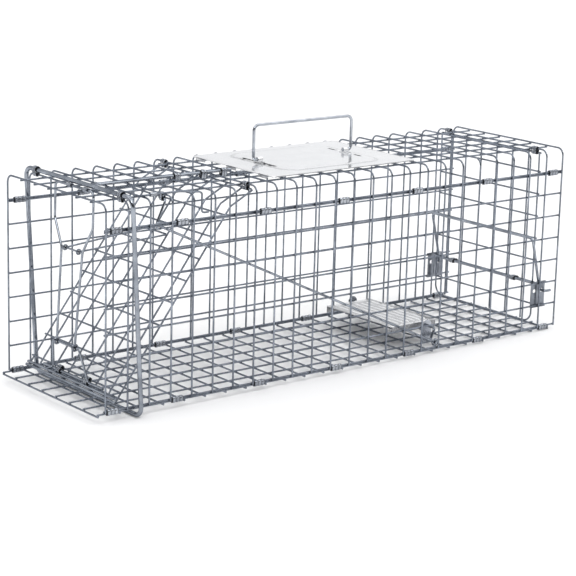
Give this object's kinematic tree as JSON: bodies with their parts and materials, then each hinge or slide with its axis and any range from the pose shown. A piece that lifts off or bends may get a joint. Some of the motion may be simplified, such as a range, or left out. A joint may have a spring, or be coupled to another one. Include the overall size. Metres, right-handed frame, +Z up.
{
  "type": "live animal cage trap",
  "caption": "Welded wire cage trap with a sloping drop door and lock yoke, a hinged rear door, a treadle trigger, a guard plate and a fold-down carrying handle.",
  "frame": {"origin": "under the middle of the cage, level with the foot of the front hoop", "axes": "+X from the front mouth to the rear door, +Y from the near side to the far side, +Z up"},
  "size_m": [0.6192, 0.1976, 0.2592],
  "materials": {
    "mesh_wire": "galvanised welded wire, blue-grey and bright",
    "bent_rod": "zinc-plated bent rod",
    "rolled_sheet": "crimped zinc-plated sheet",
    "pressed_sheet": "bright zinc-coated pressed sheet, near white"
  },
  "bodies": {
    "cage": {"floor_panel": "mesh_wire", "near_side_panel": "mesh_wire", "far_side_panel": "mesh_wire", "roof_panel": "mesh_wire", "near_top_sleeves": "rolled_sheet", "near_bottom_sleeves": "rolled_sheet", "far_top_sleeves": "rolled_sheet", "far_bottom_sleeves": "rolled_sheet", "roof_rod": "bent_rod", "roof_rod_clips": "rolled_sheet", "roof_plate": "pressed_sheet", "handle_saddles": "rolled_sheet", "front_door_hinge_sleeves": "rolled_sheet", "rear_door_hinge_sleeves": "rolled_sheet", "hoop_clips": "rolled_sheet", "yoke_rings": "rolled_sheet", "near_latch_plate": "pressed_sheet", "far_latch_plate": "pressed_sheet", "treadle_brackets": "pressed_sheet", "catch_sleeve": "rolled_sheet", "catch_hook": "bent_rod", "catch_hook_sleeve": "rolled_sheet"},
    "front_door": {"front_door_mesh": "mesh_wire", "front_door_foot_rods": "bent_rod", "lock_cross_rod": "bent_rod", "lock_rod_sleeves": "rolled_sheet"},
    "yoke": {"lock_yoke": "bent_rod"},
    "link": {"lock_link": "bent_rod"},
    "tie": {"yoke_tie": "bent_rod"},
    "hoop": {"front_hoop": "bent_rod"},
    "rear_door": {"rear_door_mesh": "mesh_wire", "rear_door_brace": "bent_rod", "brace_sleeves": "rolled_sheet"},
    "bail": {"rear_bail": "bent_rod"},
    "handle": {"carry_handle": "bent_rod"},
    "treadle": {"treadle_pan": "pressed_sheet", "treadle_axle": "bent_rod"},
    "rod": {"trigger_rod": "bent_rod"},
    "catch": {"trigger_catch": "bent_rod"}
  },
  "joints": [
    {"name": "front_door_hinge", "type": "hinge", "parent": "cage", "child": "front_door", "pos_m": [-0.12319, 0, 0.21019], "axis": [0, 1, 0], "range_deg": [0, 27]},
    {"name": "yoke_hinge", "type": "hinge", "parent": "cage", "child": "yoke", "pos_m": [-0.27904, 0, 0.21504], "axis": [0, 1, 0], "range_deg": [0, 54]},
    {"name": "link_hinge", "type": "hinge", "parent": "yoke", "child": "link", "pos_m": [-0.28905, 0, 0.05691], "axis": [0, 1, 0], "range_deg": [-70.2, 0]},
    {"name": "tie_hinge", "type": "hinge", "parent": "yoke", "child": "tie", "pos_m": [-0.28194, 0, 0.15216], "axis": [0, 1, 0], "range_deg": [-48.6, 0]},
    {"name": "hoop_hinge", "type": "hinge", "parent": "cage", "child": "hoop", "pos_m": [-0.27559, 0, 0.21909], "axis": [0, 1, 0], "range_deg": [0, 75]},
    {"name": "rear_door_hinge", "type": "hinge", "parent": "cage", "child": "rear_door", "pos_m": [0.28321, 0, 0.21019], "axis": [0, -1, 0], "range_deg": [0, 85]},
    {"name": "bail_hinge", "type": "hinge", "parent": "cage", "child": "bail", "pos_m": [0.28956, 0, 0.05335], "axis": [0, -1, 0], "range_deg": [-3, 105]},
    {"name": "handle_fold", "type": "hinge", "parent": "cage", "child": "handle", "pos_m": [0.00635, 0, 0.22109], "axis": [1, 0, 0], "range_deg": [-85, 85]},
    {"name": "treadle_tilt", "type": "hinge", "parent": "cage", "child": "treadle", "pos_m": [0.13721, 0, 0.02869], "axis": [0, 1, 0], "range_deg": [0, 8]},
    {"name": "catch_hinge", "type": "hinge", "parent": "cage", "child": "catch", "pos_m": [-0.22479, 0, 0.21019], "axis": [0, 1, 0], "range_deg": [0, 4.6]},
    {"name": "trigger_rod_hinge", "type": "hinge", "parent": "catch", "child": "rod", "pos_m": [-0.23606, 0, 0.18599], "axis": [0, 1, 0], "range_deg": [-4.6, 0]}
  ],
  "couplings": [
    {"joint": "yoke_hinge", "follows": "front_door_hinge", "ratio": 2},
    {"joint": "link_hinge", "follows": "front_door_hinge", "ratio": -2.6},
    {"joint": "tie_hinge", "follows": "front_door_hinge", "ratio": -1.8},
    {"joint": "catch_hinge", "follows": "treadle_tilt", "ratio": 0.5618},
    {"joint": "trigger_rod_hinge", "follows": "treadle_tilt", "ratio": -0.5618}
  ]
}
